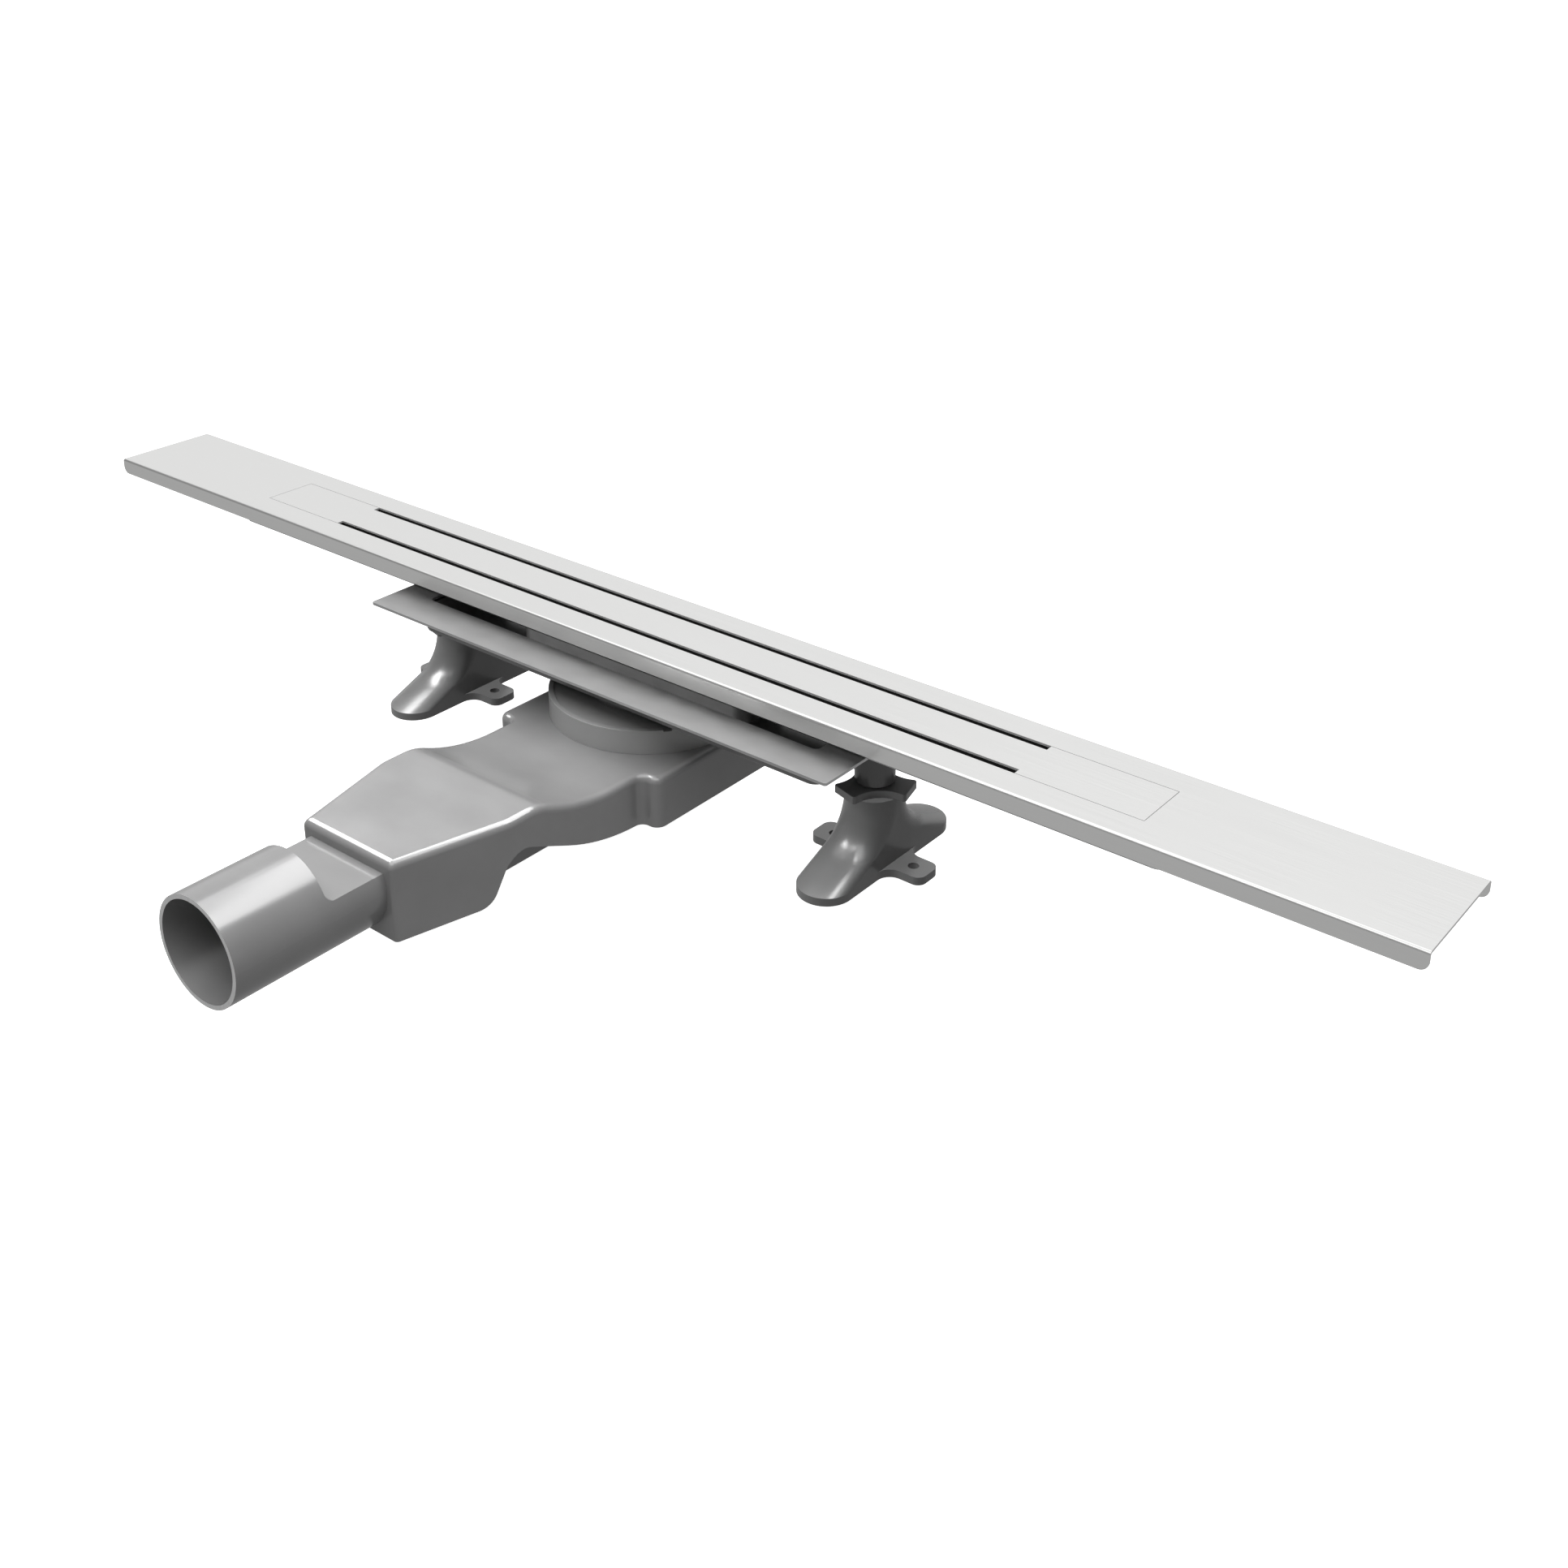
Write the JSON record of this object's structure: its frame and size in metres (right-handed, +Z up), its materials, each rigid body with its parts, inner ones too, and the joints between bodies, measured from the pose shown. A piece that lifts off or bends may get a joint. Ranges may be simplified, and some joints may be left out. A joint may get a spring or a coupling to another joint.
{
  "type": "linear shower drain",
  "caption": "Slim linear shower drain: stainless rail with a flush slotted cover over a sealing flange, collar, flat plastic trap, pipe spigot and screw-adjusted feet.",
  "frame": {"origin": "ground level under the middle of the footprint: the feet stand on Z = 0", "axes": "+X along the rail, -Y towards the outlet pipe, +Z up"},
  "size_m": [0.8, 0.3164, 0.079],
  "materials": {
    "stainless_brushed": "fine brushed stainless sheet",
    "stainless_pressed": "plain pressed stainless sheet",
    "polypropylene_grey": "moulded satin grey polypropylene",
    "polypropylene_dark": "moulded satin dark grey polypropylene",
    "rubber_black": "moulded black sealing rubber",
    "polyamide_dark": "moulded dark grey polyamide with a satin gloss",
    "zinc_steel": "rolled thread, zinc plated"
  },
  "bodies": {
    "drain": {"rail": "stainless_brushed", "trough": "stainless_pressed", "spout": "stainless_pressed", "cover": "stainless_brushed", "hair_sieve": "stainless_pressed", "sealing_flange": "stainless_pressed", "pan_gasket": "rubber_black", "pan": "polypropylene_grey", "dip_tube": "polypropylene_grey", "dip_tube_seal": "rubber_black", "collar": "polypropylene_dark", "collar_seal": "rubber_black", "trap_body": "polypropylene_grey", "trap_base": "polypropylene_grey", "outlet_spigot": "polypropylene_grey", "boss_left": "polyamide_dark", "boss_right": "polyamide_dark", "stud_left": "zinc_steel", "stud_right": "zinc_steel"},
    "foot_left": {"foot_left": "polyamide_dark"},
    "nut_left": {"nut_left": "polyamide_dark"},
    "foot_right": {"foot_right": "polyamide_dark"},
    "nut_right": {"nut_right": "polyamide_dark"}
  },
  "joints": [
    {"name": "foot_left_height", "type": "slide", "parent": "drain", "child": "foot_left", "axis": [0, 0, 1], "range_m": [-0.02, 0]},
    {"name": "nut_left_turn", "type": "hinge", "parent": "foot_left", "child": "nut_left", "pos_m": [-0.1372, 0.10515, 0.0384], "axis": [0, 0, 1], "range_deg": [-2520, 0]},
    {"name": "foot_right_height", "type": "slide", "parent": "drain", "child": "foot_right", "axis": [0, 0, 1], "range_m": [-0.02, 0]},
    {"name": "nut_right_turn", "type": "hinge", "parent": "foot_right", "child": "nut_right", "pos_m": [0.1372, 0.10515, 0.0384], "axis": [0, 0, 1], "range_deg": [-2520, 0]}
  ],
  "couplings": [
    {"joint": "nut_left_turn", "follows": "foot_left_height", "rad_per_m": 2094.4},
    {"joint": "nut_right_turn", "follows": "foot_right_height", "rad_per_m": 2094.4}
  ]
}
